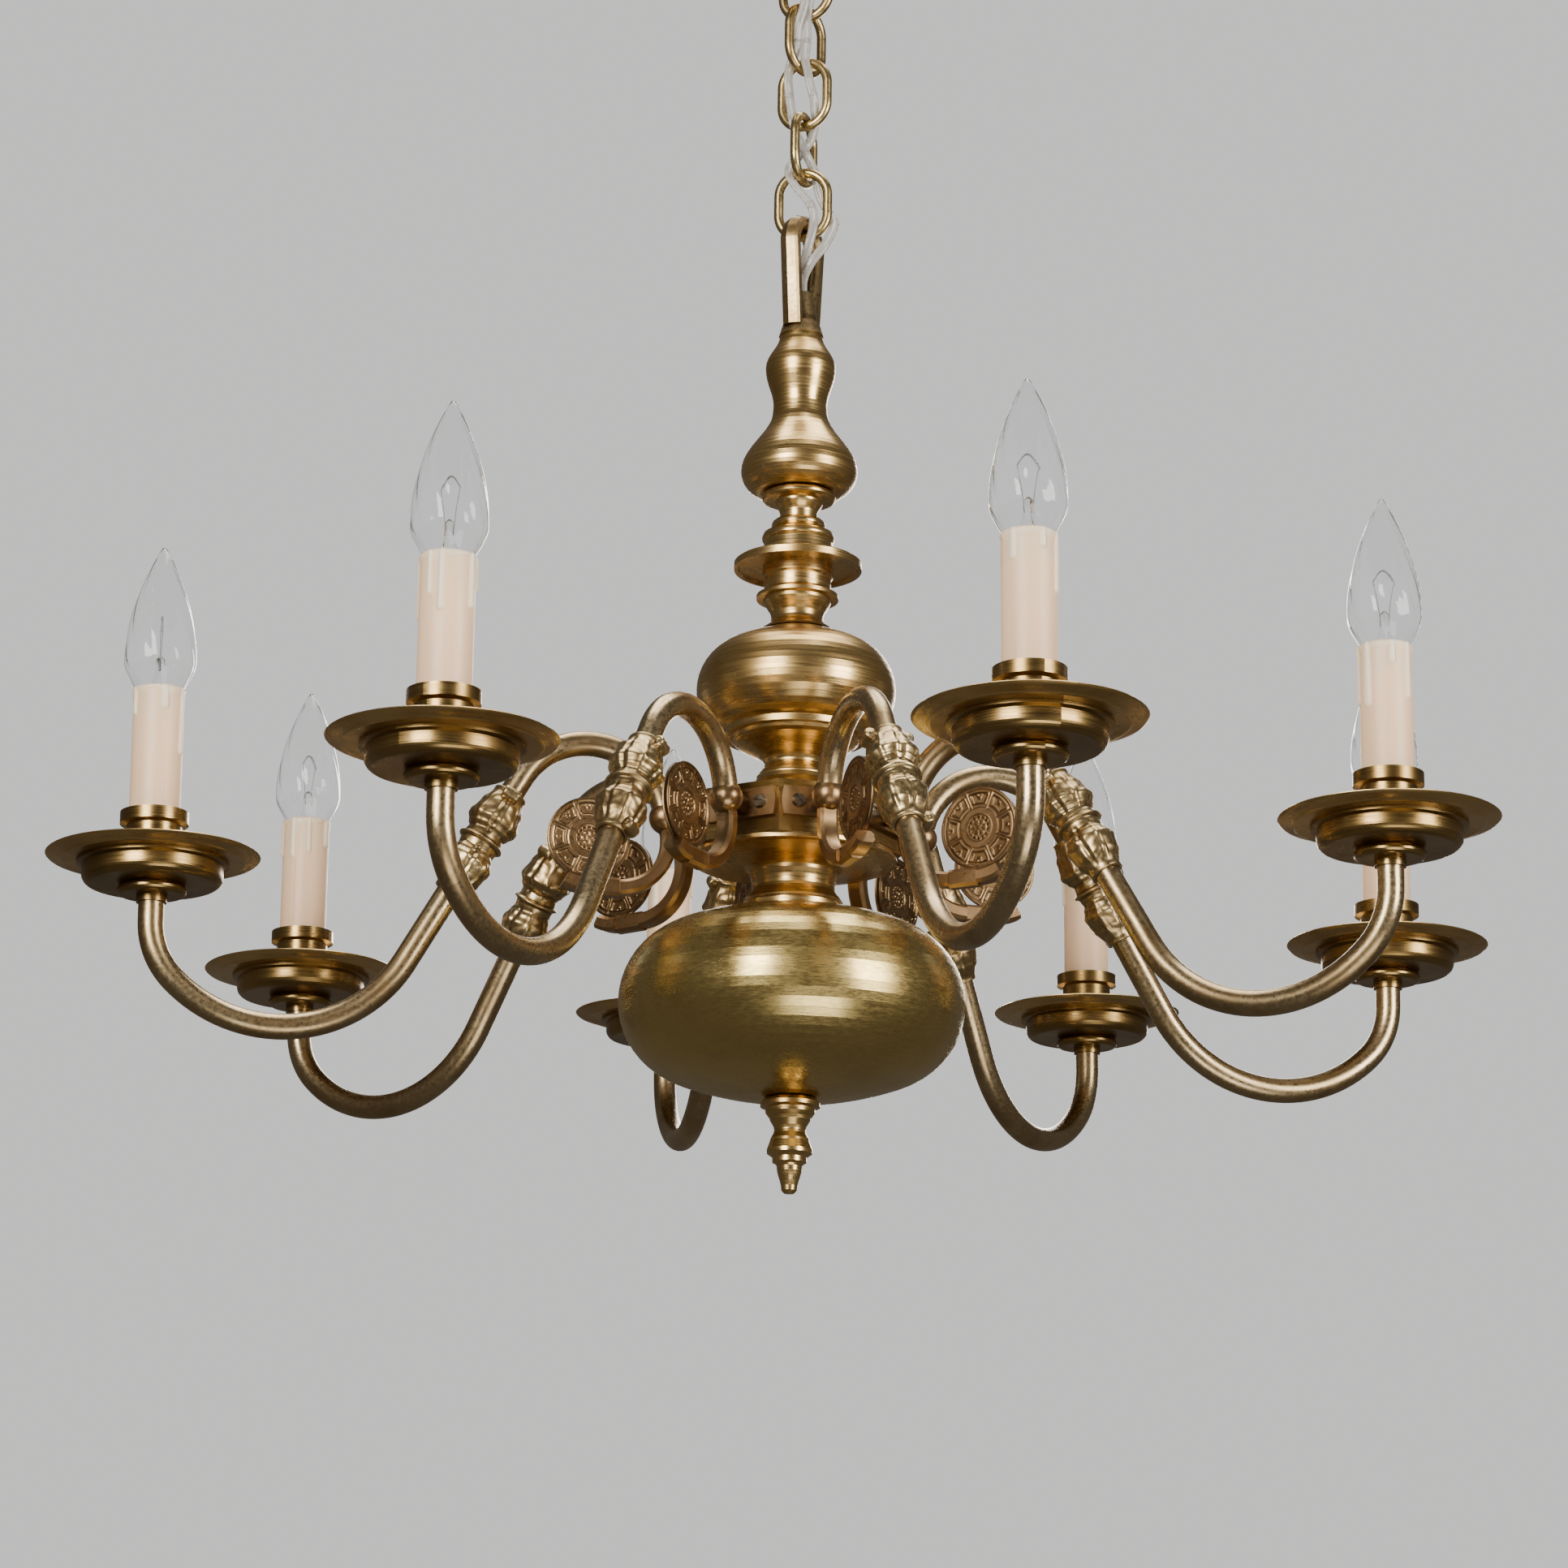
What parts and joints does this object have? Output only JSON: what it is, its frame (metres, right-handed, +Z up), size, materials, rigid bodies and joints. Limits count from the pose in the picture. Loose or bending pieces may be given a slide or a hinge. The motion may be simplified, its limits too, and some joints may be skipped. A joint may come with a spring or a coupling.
{
  "type": "multi arm chandelier",
  "caption": "Brass chandelier with scrolled arms that carry candle lamps round a turned column with a round belly, hung by a chain from a ceiling canopy.",
  "frame": {"origin": "centre of the ceiling face of the hook plate; everything hangs below it", "axes": "+Z up along the column; an arm points along each of +X, -X, +Y and -Y, with one between each pair"},
  "size_m": [0.7488, 0.7499, 0.7308],
  "materials": {
    "brass": "satin antique brass, finely brushed",
    "dark_brass": "darkened antique brass, satin",
    "copper_brass": "reddish antique brass casting, satin",
    "terminal_plastic": "plain moulded",
    "screw_steel": "dull bronzed screw heads",
    "clear_flex": "clear twin-flex insulation over tinned strands",
    "candle_ivory": "ivory sleeve with moulded wax drips, soft sheen",
    "bulb_glass": "clear blown glass"
  },
  "bodies": {
    "ceiling": {"ceiling_hook": "dark_brass", "canopy": "brass", "canopy_collar": "brass", "terminal_block": "terminal_plastic", "supply_flex": "clear_flex"},
    "link_1": {"link_1": "brass"},
    "link_2": {"link_2": "brass"},
    "link_3": {"link_3": "brass"},
    "link_4": {"link_4": "brass"},
    "link_5": {"link_5": "brass"},
    "frame": {"hanging_loop": "brass", "pear": "brass", "pear_ring": "dark_brass", "stepped_disc": "brass", "neck_collar": "brass", "vase": "brass", "hub_bell": "brass", "hub_drum": "dark_brass", "hub_cover": "brass", "belly": "brass", "finial": "brass", "tie_rod": "dark_brass", "rod_nuts": "dark_brass", "wire_joints": "terminal_plastic", "plate_screws": "screw_steel", "scroll_castings": "copper_brass", "rosettes": "copper_brass", "leaf_sleeves": "brass", "cups": "dark_brass", "drip_pans": "brass", "lamp_holders": "dark_brass", "arm_1": "brass", "arm_2": "brass", "arm_3": "brass", "arm_4": "brass", "arm_5": "brass", "arm_6": "brass", "arm_7": "brass", "arm_8": "brass", "candle_1": "candle_ivory", "candle_2": "candle_ivory", "candle_3": "candle_ivory", "candle_4": "candle_ivory", "candle_5": "candle_ivory", "candle_6": "candle_ivory", "candle_7": "candle_ivory", "candle_8": "candle_ivory"},
    "bulb_1": {"bulb_1": "bulb_glass"},
    "bulb_2": {"bulb_2": "bulb_glass"},
    "bulb_3": {"bulb_3": "bulb_glass"},
    "bulb_4": {"bulb_4": "bulb_glass"},
    "bulb_5": {"bulb_5": "bulb_glass"},
    "bulb_6": {"bulb_6": "bulb_glass"},
    "bulb_7": {"bulb_7": "bulb_glass"},
    "bulb_8": {"bulb_8": "bulb_glass"}
  },
  "joints": [
    {"name": "link_1_swing", "type": "hinge", "parent": "ceiling", "child": "link_1", "pos_m": [0, 0, -0.0618], "axis": [0.5592, 0.829, 0], "range_deg": [-20, 20], "deforming": ["supply_flex"]},
    {"name": "link_2_swing", "type": "hinge", "parent": "link_1", "child": "link_2", "pos_m": [0, 0, -0.0935], "axis": [0.829, -0.5592, 0], "range_deg": [-20, 20]},
    {"name": "link_3_swing", "type": "hinge", "parent": "link_2", "child": "link_3", "pos_m": [0, 0, -0.1252], "axis": [0.829, 0.5592, 0], "range_deg": [-20, 20]},
    {"name": "link_4_swing", "type": "hinge", "parent": "link_3", "child": "link_4", "pos_m": [0, 0, -0.1569], "axis": [0.788, -0.6157, 0], "range_deg": [-20, 20]},
    {"name": "link_5_swing", "type": "hinge", "parent": "link_4", "child": "link_5", "pos_m": [0, 0, -0.1886], "axis": [0.5878, 0.809, 0], "range_deg": [-20, 20]},
    {"name": "loop_swing", "type": "hinge", "parent": "link_5", "child": "frame", "pos_m": [0, 0, -0.2203], "axis": [0.9135, -0.4067, 0], "range_deg": [-20, 20]},
    {"name": "bulb_1_unscrew", "type": "hinge", "parent": "frame", "child": "bulb_1", "pos_m": [-0.2219, -0.23453, -0.51094], "axis": [-0.006, -0.0064, 1], "range_deg": [0, 720]},
    {"name": "bulb_2_unscrew", "type": "hinge", "parent": "frame", "child": "bulb_2", "pos_m": [0.02222, -0.32098, -0.50425], "axis": [-0.0015, 0.0174, 0.9998], "range_deg": [0, 720]},
    {"name": "bulb_3_unscrew", "type": "hinge", "parent": "frame", "child": "bulb_3", "pos_m": [0.22937, -0.22685, -0.50871], "axis": [0, 0, 1], "range_deg": [0, 720]},
    {"name": "bulb_4_unscrew", "type": "hinge", "parent": "frame", "child": "bulb_4", "pos_m": [0.32289, 0.00179, -0.51094], "axis": [0.0087, 0.0001, 1], "range_deg": [0, 720]},
    {"name": "bulb_5_unscrew", "type": "hinge", "parent": "frame", "child": "bulb_5", "pos_m": [0.23101, 0.22471, -0.50648], "axis": [-0.0063, -0.0061, 1], "range_deg": [0, 720]},
    {"name": "bulb_6_unscrew", "type": "hinge", "parent": "frame", "child": "bulb_6", "pos_m": [0.00889, 0.32145, -0.50203], "axis": [-0.0009, -0.0262, 0.9997], "range_deg": [0, 720]},
    {"name": "bulb_7_unscrew", "type": "hinge", "parent": "frame", "child": "bulb_7", "pos_m": [-0.21526, 0.2405, -0.51094], "axis": [-0.0057, 0.0066, 1], "range_deg": [0, 720]},
    {"name": "bulb_8_unscrew", "type": "hinge", "parent": "frame", "child": "bulb_8", "pos_m": [-0.32313, 0.00447, -0.51318], "axis": [-0.0174, 0.0003, 0.9998], "range_deg": [0, 720]}
  ]
}
